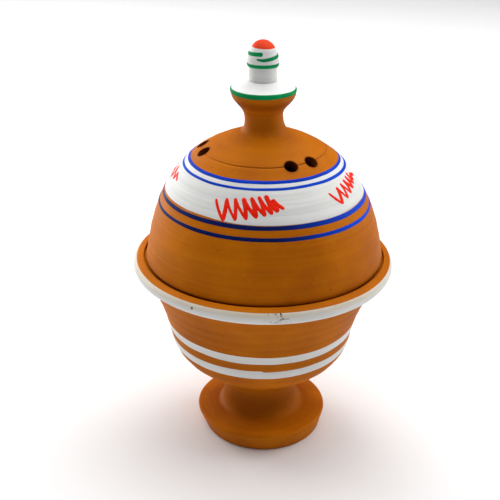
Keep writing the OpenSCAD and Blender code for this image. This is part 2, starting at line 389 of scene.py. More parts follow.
def knob_side():
    """The knob's stem, with a shallow groove at its foot, and the egg. Above its widest the egg is
    (r cos a, h sin a)."""
    c = clay()
    low = KNOB_LO.z
    stem_top = low + c.stem_h
    egg_z = stem_top + c.egg_under_h
    groove = 0.35 * MM
    stem = [[c.stem_r - groove, low], [c.stem_r - groove, low + groove], [c.stem_r, low + 3 * groove]]
    under = curve([c.stem_r, stem_top], math.radians(40), [KNOB_HI.x, egg_z], math.pi / 2)
    a = np.linspace(0, math.pi / 2 - 0.05, 50)
    egg = np.stack([KNOB_HI.x * np.cos(a), egg_z + (KNOB_HI.z - egg_z) * np.sin(a)], 1)
    step = 0.3 * MM
    return joined(respaced(joined(stem, [[c.stem_r, stem_top]]), step), respaced(joined(under, egg), step))


def knob_outline():
    side = knob_side()
    return joined(respaced([[0.3 * MM, KNOB_LO.z], side[0]], 2 * MM), side)


# ---------------------------------------------------------------- the potter's hand

# Heights, and how far the hand-thrown pot's middle stands to the right of its true axis at each.
LEAN_Z = np.array([0, 12, 24, 38, 60, 85, 112, 121, 126, 150, 165, 190, 197, 204, 214, 222, 235, 250]) * MM
LEAN_X = np.array([
    1.6, 0.55, -0.35, -0.7, -0.25, -0.4, 0.0, 0.4, 1.0, 0.8, 0.4, 0.1, 0.5, 0.1, -1.0, -0.8, -1.4, -1.5
]) * MM
# Slow waves round each body: waves round the pot, height of the wave, and where its crest is.
WAVES = {
    "pot": ((2, 0.22 * MM, 0.6), (3, 0.10 * MM, 2.1), (5, 0.04 * MM, 4.0)),
    "lid": ((2, 0.20 * MM, 2.2), (3, 0.09 * MM, 0.4), (5, 0.05 * MM, 1.3)),
}
# Throwing rings that climb like a screw: pitch, height, starts, and phase.
RINGS = {
    "pot": ((9.5 * MM, 0.085 * MM, 1, 0.4), (4.1 * MM, 0.040 * MM, 1, 1.9), (2.3 * MM, 0.018 * MM, 2, 0.0)),
    "lid": ((11.0 * MM, 0.080 * MM, 1, 2.6), (3.7 * MM, 0.034 * MM, 1, 0.8), (2.1 * MM, 0.016 * MM, 2, 1.1)),
}
FULL_WAVE_R = 60 * MM


def thrown(body, theta, r, z):
    """How far the clay stands out of its true outline. Slow waves sum h cos(k theta - p), less on a small
    radius. Rings sum h sin(2 pi w / pitch - k theta + p), where w is r + z on the pot and z - r on the
    lid. Both fade towards the base, so that the pot stands flat."""
    near_base = np.clip(z / (6 * MM), 0, 1)
    size = np.clip(r / FULL_WAVE_R, 0, 1)
    out = sum(h * np.cos(k * theta - p) for k, h, p in WAVES[body]) * size
    w = z + r if body == "pot" else z - r
    for pitch, h, starts, p in RINGS[body]:
        wander = 0.5 * np.sin(3 * theta + w / (17 * MM)) * (0.3 + 0.7 * size)
        out = out + h * np.sin(2 * math.pi * w / pitch - starts * theta + p + wander) * (0.35 + 0.65 * size)
    return out * near_base


def laid(body, outline, theta, along, lift=0.0):
    """Points on a thrown surface: the outline is turned by theta from the front towards the right, pushed
    out along its normal by the clay's unevenness and the lift, and leant sideways with its height."""
    r, z, nr, nz = outline.at(along)
    push = thrown(body, theta, r, z) + lift
    rr = r + push * nr
    zz = np.maximum(z + push * nz, 0)
    lean = np.interp(zz, LEAN_Z, LEAN_X)
    return np.stack([rr * np.sin(theta) + lean, -rr * np.cos(theta), zz], -1)


def round_angles(columns=COLUMNS):
    """Even angles round the pot, the last one short of a full turn."""
    return np.arange(columns) * 2 * math.pi / columns


def wavering(theta, seed, size):
    """A closed, gentle wander round the pot: a sum of sines with whole waves and seeded phases."""
    rng = np.random.default_rng(seed)
    waves = np.array([1, 2, 3, 5, 8, 13, 21])
    heights = rng.uniform(0.4, 1.0, len(waves)) / waves**0.7
    phases = rng.uniform(0, 2 * math.pi, len(waves))
    total = sum(h * np.sin(k * theta + p) for k, h, p in zip(waves, heights, phases))
    return size * total / heights.sum()


# ---------------------------------------------------------------- meshes


def grid_faces(rows, columns, close_rows=False, close_columns=True, first=0):
    """Faces of a grid whose vertex (i, j) is first + i * columns + j, wrapped round either way if closed."""
    i = np.arange(rows if close_rows else rows - 1)[:, None]
    j = np.arange(columns if close_columns else columns - 1)[None, :]
    i2, j2 = (i + 1) % rows, (j + 1) % columns
    quads = np.stack([i * columns + j, i * columns + j2, i2 * columns + j2, i2 * columns + j], -1)
    return (first + quads).reshape(-1, 4)


def end_faces(ring, pole, flip):
    """Triangles from a closed ring of vertices to one pole."""
    a, b = (np.roll(ring, -1), ring) if flip else (ring, np.roll(ring, -1))
    return np.stack([a, b, np.full(len(ring), pole)], -1)


def new_piece(name, points, quads, triangles=None, material=None, body="pot", painted_shade=None):
    """An object at the origin with its place in its mesh. Smooth, with sharp edges where the clay turns a
    corner. Painted shade, if it is given, is a value for each vertex that the clay reads to darken itself."""
    faces = quads.tolist() + ([] if triangles is None else triangles.tolist())
    mesh = bpy.data.meshes.new(name)
    mesh.from_pydata(points.reshape(-1, 3).tolist(), [], faces)
    mesh.update()
    mesh.shade_smooth()
    mesh.set_sharp_from_angle(angle=SHARP_ANGLE)
    mesh.materials.append(material)
    if painted_shade is not None:
        layer = mesh.attributes.new("painted_shade", "FLOAT", "POINT")
        layer.data.foreach_set("value", np.ascontiguousarray(painted_shade, dtype=np.float32))
    if mesh.validate():
        raise RuntimeError(f"{name}: its faces had to be mended")
    piece = bpy.data.objects.new(name, mesh)
    bpy.context.scene.collection.objects.link(piece)
    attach(piece, body)
    return piece


def turned_piece(name, body, points, material, closed=False, columns=COLUMNS, painted_shade=None):
    """A turned shape: its outline is swept round the axis. An outline that isn't closed ends in two poles.
    Painted shade is a function of the angle, the radius and the height that gives the clay's painted
    darkening."""
    outline = Outline(np.vstack([points, points[:1]]) if closed else points)
    theta = round_angles(columns)[None, :]
    along = (outline.along[:-1] if closed else outline.along)[:, None]
    surface = laid(body, outline, theta + 0 * along, along + 0 * theta)
    rows = len(along)
    r, z = outline.at(along)[:2]
    marks = None if painted_shade is None else painted_shade(theta, r, z + 0 * theta).ravel()
    quads = grid_faces(rows, columns, close_rows=closed)
    if closed:
        return new_piece(name, surface, quads, None, material, body, marks)
    if marks is not None:
        marks = np.append(marks, [0, 0])
    ends = np.stack([surface[0].mean(0), surface[-1].mean(0)])
    vertices = np.vstack([surface.reshape(-1, 3), ends])
    ring = np.arange(columns)
    count = rows * columns
    triangles = np.vstack([
        end_faces(ring, count, flip=True),
        end_faces(count - columns + ring, count + 1, flip=False),
    ])
    return new_piece(name, vertices, quads, triangles, material, body, marks)


def band(outline, body, low, high, thick, columns=COLUMNS, rows=10, sink=0.25 * MM):
    """A painted band as a closed film round the pot: low and high are its edges, as lengths along the
    outline at each angle. Its face swells by 1 - (2w - 1)^8 across the band, and its back is in the clay."""
    theta = round_angles(columns)[None, :]
    w = np.linspace(0, 1, rows + 1)[:, None]
    swell = thick * (1 - (2 * w - 1) ** 8) - 0.03 * MM
    back = np.linspace(1, 0, rows // 2 + 1)[1:-1, None]
    across = np.vstack([w, back])
    lift = np.vstack([swell, np.full_like(back, -sink)])
    along = low + (high - low) * across
    surface = laid(body, outline, theta + 0 * along, along, lift + 0 * along)
    return surface.reshape(-1, 3), grid_faces(len(across), columns, close_rows=True)


def cap(outline, body, low, thick, columns=96, rows=24, sink=0.3 * MM):
    """A painted cap over the outline's far end: a closed film that starts at low and ends in a pole."""
    theta = round_angles(columns)[None, :]
    high = outline.along[-1]
    w = np.linspace(0, 1, rows + 1)[:, None]
    swell = thick * (1 - np.abs(1 - w) ** 10) - 0.03 * MM
    top = laid(body, outline, theta + 0 * w, low + (high - low) * w, swell + 0 * theta)
    back = w[::-2]
    under = laid(body, outline, theta + 0 * back, low + (high - low) * back, -sink + 0 * (theta + back))
    count_top, count_under = len(top) * columns, len(under) * columns
    poles = np.stack([top[-1].mean(0), under[0].mean(0)])
    vertices = np.vstack([top.reshape(-1, 3), under.reshape(-1, 3), poles])
    ring = np.arange(columns)
    edge = grid_faces(2, columns)
    edge_quads = np.where(edge < columns, count_top + count_under - columns + edge, edge - columns)
    quads = np.vstack([
        grid_faces(len(top), columns),
        grid_faces(len(under), columns, first=count_top),
        edge_quads,
    ])
    triangles = np.vstack([
        end_faces(count_top - columns + ring, count_top + count_under, flip=False),
        end_faces(count_top + ring, count_top + count_under + 1, flip=True),
    ])
    return vertices, quads, triangles


def brush_stroke(outline, body, theta, along, half, thick, sink=0.2 * MM, across=8):
    """One stroke of a loaded brush, as a closed pillow on the surface. The path is given as angles and
    lengths along the outline. At each point the stroke reaches half its width to both sides, square to
    the path, and its face swells by the square root of 1 - w^2. Its first and last rings end in a pole."""
    r = outline.at(along)[0]
    dx, dy = np.gradient(theta) * r, np.gradient(along)
    size = np.hypot(dx, dy)
    dx, dy = dx / size, dy / size
    w = np.linspace(-1, 1, across + 1)
    ring_w = np.concatenate([w, w[-2:0:-1]])
    face = np.sqrt(1 - w**2)
    ring_h = np.concatenate([face * thick - 0.02 * MM, -face[-2:0:-1] * sink])
    reach = half[:, None] * ring_w[None, :]
    th = theta[:, None] - reach * (dy / r)[:, None]
    al = along[:, None] + reach * dx[:, None]
    fade = np.clip(half / half.max() * 2.5, 0.15, 1)[:, None]
    surface = laid(body, outline, th, al, ring_h[None, :] * fade)
    n, m = len(theta), len(ring_w)
    quads = grid_faces(n, m)
    vertices = np.vstack([surface.reshape(-1, 3), surface[0].mean(0), surface[-1].mean(0)])
    ring = np.arange(m)
    triangles = np.vstack([
        end_faces(ring, n * m, flip=True),
        end_faces((n - 1) * m + ring, n * m + 1, flip=False),
    ])
    return vertices, quads[:, ::-1], triangles[:, ::-1]


def gathered(parts):
    """Many (vertices, quads, triangles) as one, each part's faces moved on past the vertices before it."""
    vertices, quads, triangles, first = [], [], [], 0
    for v, q, t in parts:
        vertices.append(v)
        quads.append(q + first)
        triangles.append(t + first)
        first += len(v)
    return np.vstack(vertices), np.vstack(quads), np.vstack(triangles)


def with_round_ends(half, ends):
    """A stroke's half widths with round ends: the first and last few are cut down like a circle's."""
    n = len(half)
    k = np.minimum(np.arange(n), np.arange(n)[::-1])
    return half * np.sqrt(np.clip(1 - (1 - np.minimum(k / ends, 1)) ** 2, 0.02, 1))


# ---------------------------------------------------------------- the pierced dome


def vent_places():
    """The vents as angles round the pot, in pairs."""
    c = clay()
    pair = np.arange(c.vent_pairs) * 2 * math.pi / c.vent_pairs
    side = np.array([-0.5, 0.5]) * c.vent_spread
    return (c.vent_turn + pair[:, None] + side[None, :]).ravel()


def wrapped(a):
    """An angle brought between minus and plus half a turn."""
    return (a + math.pi) % (2 * math.pi) - math.pi


def opened_for_vents(theta, along, vent_along):
    """Draws a grid away from each vent, so that its lines run round the hole. A point at distance d from a
    vent's middle, measured on the surface, moves out so that 0.9 R becomes R and 2.4 R stays. Returns the
    moved grid, which points a hole swallows, and the holes' radius R."""
    c = clay()
    radius, circle_r = c.vent_d / 2 + 0.3 * MM, c.vent_circle_r
    start, reach = 0.9 * radius, 2.4 * radius
    swallowed = np.zeros(theta.shape, bool)
    for vent in vent_places():
        dx, dy = wrapped(theta - vent) * circle_r, along - vent_along
        d = np.hypot(dx, dy)
        swallowed |= d < start
        moved = radius + (d - start) * (reach - radius) / (reach - start)
        scale = np.where((d < reach) & (d > 1e-9), np.maximum(moved, 0) / np.maximum(d, 1e-9), 1)
        theta = np.where(d < reach, vent + dx * scale / circle_r, theta)
        along = np.where(d < reach, vent_along + dy * scale, along)
    return theta, along, swallowed, radius


def snapped_to_vents(theta, along, on_edge, vent_along, radius):
    """Puts the points on a hole's ragged edge on the true circle round the nearest vent."""
    circle_r = clay().vent_circle_r
    for vent in vent_places():
        dx, dy = wrapped(theta - vent) * circle_r, along - vent_along
        d = np.hypot(dx, dy)
        here = on_edge & (d < 1.6 * radius)
        scale = np.where(here, radius / np.maximum(d, 1e-9), 1)
        theta = np.where(here, vent + dx * scale / circle_r, theta)
        along = np.where(here, vent_along + dy * scale, along)
    return theta, along


def from_nearest_vent(theta, along, vent_along):
    """Distance on the surface from the middle of the nearest vent."""
    circle_r = clay().vent_circle_r
    gaps = [np.hypot(wrapped(theta - v) * circle_r, along - vent_along) for v in vent_places()]
    return np.min(gaps, axis=0)


def wall_edges(kept):
    """The directed edges (row, column) pairs round the holes of a grid whose kept faces are given. Each runs
    against the kept face beside it, so that a wall built from it faces into the hole."""
    before = np.vstack([np.ones((1, kept.shape[1]), bool), kept])
    after = np.vstack([kept, np.ones((1, kept.shape[1]), bool)])
    left = np.roll(kept, 1, axis=1)
    columns = kept.shape[1]
    pairs = []
    i, j = np.nonzero(before & ~after)
    pairs.append((i, j, i, (j + 1) % columns))
    i, j = np.nonzero(~before & after)
    pairs.append((i, (j + 1) % columns, i, j))
    i, j = np.nonzero(left & ~kept)
    pairs.append((i + 1, j, i, j))
    i, j = np.nonzero(~left & kept)
    pairs.append((i, j, i + 1, j))
    a = np.concatenate([p[0] * columns + p[1] for p in pairs])
    b = np.concatenate([p[2] * columns + p[3] for p in pairs])
    return a, b


def dome_surface():
    """The dome's shell. The outside and the inside are the same grid, one wall apart, so that each vent's
    wall joins the two. A groove is cut round the dome at the vents, and the clay stands up round them."""
    c = clay()
    outline = dome_outside()
    vent_z = np.interp(-c.vent_circle_r, -outline.points[:, 0], outline.points[:, 1])
    vent_along = outline.along_z(vent_z)
    total = outline.along[-1]
    spread = 1.6 * MM
    coarse_low = np.linspace(0, vent_along - spread, int((vent_along - spread) / ROW_STEP) + 1)
    fine = np.linspace(vent_along - spread, vent_along + spread, int(2 * spread / FINE_STEP) + 1)
    coarse_high = np.linspace(vent_along + spread, total, int((total - vent_along - spread) / ROW_STEP) + 1)
    rows = np.concatenate([coarse_low, fine[1:], coarse_high[1:]])
    theta = round_angles()[None, :] + 0 * rows[:, None]
    along = rows[:, None] + 0 * theta
    theta, along, swallowed, radius = opened_for_vents(theta, along, vent_along)
    gone = swallowed[:-1] | swallowed[1:]
    gone = gone | np.roll(gone, -1, axis=1)
    kept = ~gone
    touches_gone = np.zeros(swallowed.shape, bool)
    touches_gone[:-1] |= gone | np.roll(gone, 1, axis=1)
    touches_gone[1:] |= gone | np.roll(gone, 1, axis=1)
    touches_kept = np.zeros(swallowed.shape, bool)
    touches_kept[:-1] |= kept | np.roll(kept, 1, axis=1)
    touches_kept[1:] |= kept | np.roll(kept, 1, axis=1)
    theta, along = snapped_to_vents(theta, along, touches_gone & touches_kept, vent_along, radius)
    d = from_nearest_vent(theta, along, vent_along)
    burr = 0.16 * MM * np.exp(-(((d - radius) / (0.8 * MM)) ** 2))
    groove_at = vent_along + wavering(theta, 11, 0.5 * MM)
    depth = 0.42 * MM * (0.8 + 0.2 * np.sin(2 * theta + 1))
    groove = depth * np.exp(-(((along - groove_at) / (0.30 * MM)) ** 2)) * (d > radius + 0.2 * MM)
    outside = laid("lid", outline, theta, along, burr - groove)
    inside = laid("lid", outline, theta, along, -c.dome_wall)
    # Painted shade: darker in the groove, on the skirt's lower edge and round each vent's edge.
    painted_shade = np.exp(-(((along - groove_at) / (0.32 * MM)) ** 2)) * (0.6 + 0.3 * np.sin(2 * theta + 1))
    painted_shade = painted_shade + RIM_PAINTED_SHADE * (along < 0.9 * MM) + 0.35 * np.exp(-(((d - radius) / (0.5 * MM)) ** 2))
    return outline, outside, inside, kept, np.clip(painted_shade, 0, 1)


def dome_mesh():
    """Vertices, quads and triangles of the whole dome: outside, inside, rim, vent walls and the two crowns.
    Also each vertex's painted shade."""
    outline, outside, inside, kept, painted_shade = dome_surface()
    rows, columns = outside.shape[:2]
    count = rows * columns
    faces = grid_faces(rows, columns).reshape(rows - 1, columns, 4)[kept]
    quads = [faces, (faces + count)[:, ::-1]]
    vertices = [outside.reshape(-1, 3), inside.reshape(-1, 3)]
    first = 2 * count
    # The rim under the skirt, from the inside to the outside.
    c = clay()
    r = c.edge_round
    low, outer_r, inner_r = DOME_LO.z, DOME_HI.x, DOME_HI.x - c.dome_wall
    inner_arc = arc([inner_r + r, low + r], r, 190, 270, 4)
    outer_arc = arc([outer_r - c.rim_round, low + c.rim_round], c.rim_round, -90, EDGE_START, 5)
    rim = Outline(joined(inner_arc, outer_arc))
    theta = round_angles()[None, :]
    rim_rows = laid("lid", rim, theta + 0 * rim.along[:, None], rim.along[:, None] + 0 * theta)
    vertices.append(rim_rows.reshape(-1, 3))
    n = len(rim.along)
    chain = np.vstack([
        count + np.arange(columns)[None, :],
        first + np.arange(n * columns).reshape(n, columns),
        np.arange(columns)[None, :],
    ])
    quads.append(chained(chain))
    first += n * columns
    # Vent walls, drawn in a little at mid-wall so that both edges are soft.
    a, b = wall_edges(kept)
    used, where = np.unique(np.concatenate([a, b]), return_inverse=True)
    a_at, b_at = where[: len(a)], where[len(a):]
    outer, inner = vertices[0][used], vertices[1][used]
    shares = np.array([0.03, 0.1, 0.3, 0.6, 0.9, 0.97])
    draw = 0.3 * MM * np.array([0.6, 0.95, 1, 1, 0.95, 0.6])
    middle = vent_middles(outline, outer)
    towards = middle - outer
    towards /= np.linalg.norm(towards, axis=1)[:, None]
    walls = outer + shares[:, None, None] * (inner - outer) + draw[:, None, None] * towards
    vertices.append(walls.reshape(-1, 3))
    wall_count = walls.size // 3
    rungs = first + np.arange(wall_count).reshape(len(shares), -1)
    ladder = np.vstack([used[None, :], rungs, used[None, :] + count])
    for upper, lower in zip(ladder[:-1], ladder[1:]):
        quads.append(np.stack([upper[a_at], upper[b_at], lower[b_at], lower[a_at]], -1))
    first += wall_count
    # Crowns under the neck, outside and inside.
    crowns = np.stack([outside[-1].mean(0), inside[-1].mean(0)])
    vertices.append(crowns)
    ring = (rows - 1) * columns + np.arange(columns)
    triangles = np.vstack([end_faces(ring, first, flip=False), end_faces(count + ring, first + 1, flip=True)])
    # Painted shade: the inside of the dome, the rim under the skirt and the vent walls are darkened, the
    # walls fully.
    marks = np.concatenate([
        painted_shade.ravel(), np.full(count, INSIDE_PAINTED_SHADE), np.full(n * columns, RIM_PAINTED_SHADE),
        np.ones(wall_count), np.zeros(2),
    ])
    return without_loose(np.vstack(vertices), np.vstack(quads), triangles, marks)


def chained(chain):
    """Quads between the rows of a table of vertex numbers, closed round."""
    a, b = chain[:-1], chain[1:]
    return np.stack([a, np.roll(a, -1, 1), np.roll(b, -1, 1), b], -1).reshape(-1, 4)


def vent_middles(outline, points):
    """The middle of the vent nearest to each point, on the dome's outside."""
    c = clay()
    vents = vent_places()
    vent_z = np.interp(-c.vent_circle_r, -outline.points[:, 0], outline.points[:, 1])
    along = np.full(len(vents), outline.along_z(vent_z))
    middles = laid("lid", outline, vents, along)
    nearest = np.linalg.norm(points[:, None, :] - middles[None], axis=2).argmin(1)
    return middles[nearest]


def without_loose(vertices, quads, triangles, marks):
    """The mesh and its vertices' marks without vertices that no face uses."""
    used, number = np.unique(np.concatenate([quads.ravel(), triangles.ravel()]), return_inverse=True)
    new_quads = number[: quads.size].reshape(-1, 4)
    new_triangles = number[quads.size :].reshape(-1, 3)
    return vertices[used], new_quads, new_triangles, marks[used]


# ---------------------------------------------------------------- materials


class Recipe:
    """A material under construction: its nodes are added by name and joined as they are made."""

    def __init__(self, name):
        self.material = bpy.data.materials.new(name)
        self.material.use_nodes = True
        self.tree = self.material.node_tree
        self.shader = self.tree.nodes["Principled BSDF"]
        self.place = self.tree.nodes.new("ShaderNodeTexCoord").outputs["Object"]

    def add(self, kind, inputs=None, **settings):
        node = self.tree.nodes.new("ShaderNode" + kind)
        for key, value in settings.items():
            setattr(node, key, value)
        for key, value in (inputs or {}).items():
            if isinstance(value, bpy.types.NodeSocket):
                self.tree.links.new(value, node.inputs[key])
            else:
                node.inputs[key].default_value = value
        return node

    def stretched(self, scale):
        """The object's own coordinates, multiplied by a scale on each axis."""
        return self.add("Mapping", {"Vector": self.place, "Scale": scale}).outputs[0]

    def noise(self, scale, detail=3.0, stretch=None, roughness=0.5):
        vector = self.stretched(stretch) if stretch else self.place
        inputs = {"Vector": vector, "Scale": scale, "Detail": detail, "Roughness": roughness}
        return self.add("TexNoise", inputs).outputs["Fac"]

    def between(self, value, low, high, bottom=0.0, top=1.0):
        """A value carried from low..high to bottom..top, held at both ends."""
        inputs = {"Value": value, "From Min": low, "From Max": high, "To Min": bottom, "To Max": top}
        return self.add("MapRange", inputs, clamp=True).outputs[0]

    def axis(self, letter):
        """One of the object's own coordinates."""
        return self.add("SeparateXYZ", {"Vector": self.place}).outputs[letter]

    def sum(self, *weighted):
        total = None
        for value, weight in weighted:
            inputs = {0: value, 1: weight, 2: 0.0 if total is None else total}
            total = self.add("Math", inputs, operation="MULTIPLY_ADD").outputs[0]
        return total

    def times(self, a, b):
        return self.add("Math", {0: a, 1: b}, operation="MULTIPLY").outputs[0]

    def near(self, point, inner, outer):
        """1 within the inner distance of a point, falling to 0 at the outer."""
        gap = self.add("VectorMath", {0: self.place, 1: point}, operation="DISTANCE").outputs["Value"]
        return self.between(gap, inner, outer, 1.0, 0.0)

    def mix(self, share, a, b):
        inputs = {"Factor": share}
        node = self.add("Mix", inputs, data_type="RGBA")
        for socket, value in ((node.inputs[6], a), (node.inputs[7], b)):
            if isinstance(value, bpy.types.NodeSocket):
                self.tree.links.new(value, socket)
            else:
                socket.default_value = (*value, 1.0)
        return node.outputs[2]

    def finish(self, colour_socket, roughness, height, bump, specular):
        links = self.tree.links
        links.new(colour_socket, self.shader.inputs["Base Color"])
        links.new(roughness, self.shader.inputs["Roughness"])
        relief = self.add("Bump", {"Height": height, "Strength": 1.0, "Distance": bump})
        links.new(relief.outputs[0], self.shader.inputs["Normal"])
        self.shader.inputs["Specular IOR Level"].default_value = specular
        return self.material


def thrown_clay():
    """Matt fired clay: slow blotches, fine turning lines, sandy grain, small pits and chalky rubs. The pits
    are darkened as painted shade, and each vertex's painted shade darkens the clay further.
    """
    p = paint()
    m = Recipe("thrown_clay")
    blotch = m.noise(13, 2)
    cloud = m.noise(48, 4)
    lines = m.noise(1, 4, stretch=(9, 9, 560), roughness=0.6)
    broad_lines = m.noise(1, 3, stretch=(5, 5, 150))
    grain = m.noise(1500, 2)
    tone = m.sum((blotch, 0.45), (cloud, 0.25), (lines, 0.18), (broad_lines, 0.12))
    body = m.mix(m.between(tone, 0.36, 0.60), p.clay_dark, p.clay)
    rub = m.between(m.noise(62, 5, roughness=0.65), 0.60, 0.78, 0.0, 0.35)
    streak = m.between(m.noise(1, 4, stretch=(30, 30, 210), roughness=0.7), 0.62, 0.75, 0.0, 0.3)
    from_seam = m.add("Math", {0: m.axis("Z"), 1: BOWL_LO.z + 0.3 * MM}, operation="SUBTRACT").outputs[0]
    from_seam = m.add("Math", {0: from_seam}, operation="ABSOLUTE").outputs[0]
    seam = m.times(m.between(from_seam, 0.3 * MM, 0.8 * MM, 0.8, 0.0), m.between(cloud, 0.42, 0.55))
    chalky = m.mix(m.sum((rub, 0.6), (streak, 0.6), (seam, 1.0)), body, p.clay_pale)
    flecks = m.between(m.noise(900, 1), 0.70, 0.76, 0.0, 0.3)
    flecked = m.mix(flecks, chalky, p.clay_pale)
    cell = m.add("TexVoronoi", {"Vector": m.place, "Scale": 95.0, "Randomness": 1.0}).outputs["Distance"]
    pit = m.between(cell, 0.035, 0.075, 1.0, 0.0)
    # Painted shade: the pits are darkened towards a deep clay colour.
    pitted = m.mix(m.times(pit, 0.55), flecked, tuple(0.35 * v for v in p.clay_dark))
    # Painted shade: the value that each vertex carries, broken by the cloud, mixes the clay towards a dark
    # colour.
    painted_shade_share = m.add("Attribute", attribute_name="painted_shade").outputs["Fac"]
    with_painted_shade = m.mix(m.times(painted_shade_share, m.between(cloud, 0.3, 0.6, 0.75, 1.0)), pitted, tuple(p.painted_shade))
    roughness = m.between(m.sum((grain, 0.5), (cloud, 0.5)), 0.3, 0.7, 0.5, 0.68)
    height = m.sum((lines, 0.45), (grain, 0.22), (broad_lines, 0.6), (pit, -0.5))
    return m.finish(with_painted_shade, roughness, height, 0.3 * MM, 0.07)


def white_paint(name="white_paint", shade=None, beige_from=None, cracks=(), dots=()):
    """Matt white paint with brush streaks round the pot. Above the height beige_from it is rubbed to a beige.
    Near each crack place fine dark lines show, and each dot is a small chip down to the clay."""
    p = paint()
    m = Recipe(name)
    streaks = m.noise(1, 4, stretch=(14, 14, 620), roughness=0.65)
    cloud = m.noise(38, 3)
    thin = m.between(m.sum((streaks, 0.6), (cloud, 0.4)), 0.40, 0.62)
    white = tuple(shade or p.white)
    body = m.mix(thin, tuple(0.90 * v for v in white), white)
    if beige_from is not None:
        worn = m.between(m.axis("Z"), beige_from - 1.2 * MM, beige_from + 1.2 * MM, 0.0, 0.9)
        body = m.mix(m.times(worn, m.between(cloud, 0.3, 0.6, 0.7, 1.0)), body, tuple(p.beige))
    speck = m.add("TexVoronoi", {"Vector": m.place, "Scale": 130.0}).outputs["Distance"]
    marks = m.between(speck, 0.02, 0.045, 0.5, 0.0)
    scratch = m.between(m.noise(1, 4, stretch=(420, 420, 700), roughness=0.7), 0.56, 0.62)
    for point, inner, outer in cracks:
        near = m.times(scratch, m.near(point, inner, outer))
        marks = m.add("Math", {0: marks, 1: near}, operation="MAXIMUM").outputs[0]
    for point, inner, outer in dots:
        marks = m.add("Math", {0: marks, 1: m.near(point, inner, outer)}, operation="MAXIMUM").outputs[0]
    marked = m.mix(marks, body, (0.12, 0.05, 0.02))
    roughness = m.between(cloud, 0.3, 0.7, 0.55, 0.72)
    height = m.sum((streaks, 0.8), (m.noise(700, 2), 0.2), (marks, -0.6))
    return m.finish(marked, roughness, height, 0.22 * MM, 0.2)


def brush_paint(name, shade, deep, roughness, stretch=(16, 16, 700), light=None):
    """Coloured paint laid with a brush: a deeper tone where it lies thick, hair lines along the stroke. If a
    light shade is given, the paint passes to it from the front to the pot's right: painted shade on the front
    and painted light on the right."""
    m = Recipe(name)
    hairs = m.noise(1, 3, stretch=stretch, roughness=0.6)
    pools = m.noise(70, 3)
    thick = m.between(m.sum((hairs, 0.45), (pools, 0.55)), 0.40, 0.62)
    body = m.mix(thick, shade, tuple(v * deep for v in shade))
    if light is not None:
        # Painted light and shade: the paint passes from its own shade on the front and left to the lit shade
        # on the pot's right.
        body = m.mix(m.between(m.sum((m.axis("X"), 1.0), (pools, 20 * MM)), 20 * MM, 62 * MM), body, light)
    rough = m.between(pools, 0.3, 0.7, roughness, roughness + 0.12)
    return m.finish(body, rough, m.sum((hairs, 0.8), (pools, 0.4)), 0.12 * MM, 0.06)


def green_paint():
    """The green of the disc's edge and of the knob's ring and spiral."""
    return brush_paint("brushed_green_paint", tuple(paint().green), 0.6, 0.5)


def floor_material():
    """A pale, plain studio floor with the faintest grain."""
    m = Recipe("pale_floor")
    grain = m.noise(6, 2)
    body = m.mix(grain, (0.86, 0.86, 0.86), (0.88, 0.88, 0.88))
    return m.finish(body, m.between(grain, 0, 1, 0.9, 0.95), grain, 0.01 * MM, 0.1)


def shared(name, make):
    """The material of that name, made the first time it is asked for."""
    return bpy.data.materials.get(name) or make()


# ---------------------------------------------------------------- operators


def bump_at(value, middle, width):
    """A bell that is 1 at the middle."""
    return np.exp(-(((value - middle) / width) ** 2))


def foot_painted_shade(theta, r, z):
    """Painted shade on the front of the stem and in the corner under it."""
    front = 0.55 + 0.45 * np.cos(theta)
    return STEM_PAINTED_SHADE * bump_at(z, 24 * MM, 9 * MM) * front * (r < FOOT_HI.x - 5 * MM)


def neck_painted_shade(theta, r, z):
    """Painted shade round the neck, below the disc's pale lower corner."""
    return NECK_PAINTED_SHADE * bump_at(z, NECK_LO.z + 18.5 * MM, 3.2 * MM) * (r > 5 * MM)


class POT_OT_foot(Operator):
    """Throw the foot, a thick plate with a hollow stem"""

    bl_idname = "pot.foot"
    bl_label = "Throw the foot"

    def execute(self, context):
        look = shared("thrown_clay", thrown_clay)
        piece = turned_piece("foot_clay", "pot", foot_outline(), look, True, 288, foot_painted_shade)
        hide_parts("foot")
        return {"FINISHED"}


class POT_OT_bowl(Operator):
    """Throw the bowl with its rolled lip and gallery"""

    bl_idname = "pot.bowl"
    bl_label = "Throw the bowl"

    def execute(self, context):
        look = shared("thrown_clay", thrown_clay)
        piece = turned_piece("bowl_clay", "pot", bowl_outline(), look)
        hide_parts("bowl")
        return {"FINISHED"}


class POT_OT_dome(Operator):
    """Throw the lid's dome and pierce its vents"""

    bl_idname = "pot.dome"
    bl_label = "Throw the dome"

    def execute(self, context):
        vertices, quads, triangles, marks = dome_mesh()
        material = shared("thrown_clay", thrown_clay)
        piece = new_piece("dome_clay", vertices, quads, triangles, material, "lid", marks)
        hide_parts("lid_dome")
        return {"FINISHED"}


class POT_OT_neck(Operator):
    """Throw the neck that flares into the disc"""

    bl_idname = "pot.neck"
    bl_label = "Throw the neck"

    def execute(self, context):
        look = shared("thrown_clay", thrown_clay)
        piece = turned_piece("neck_clay", "lid", neck_outline(), look, False, 192, neck_painted_shade)
        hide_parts("lid_neck")
        return {"FINISHED"}


class POT_OT_knob(Operator):
    """Shape the knob, a stem with an egg on it, in white"""

    bl_idname = "pot.knob"
    bl_label = "Shape the knob"

    def execute(self, context):
        piece = turned_piece(
            "knob_white", "lid", knob_outline(), shared("white_paint", white_paint), columns=160
        )
        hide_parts("knob")
        return {"FINISHED"}


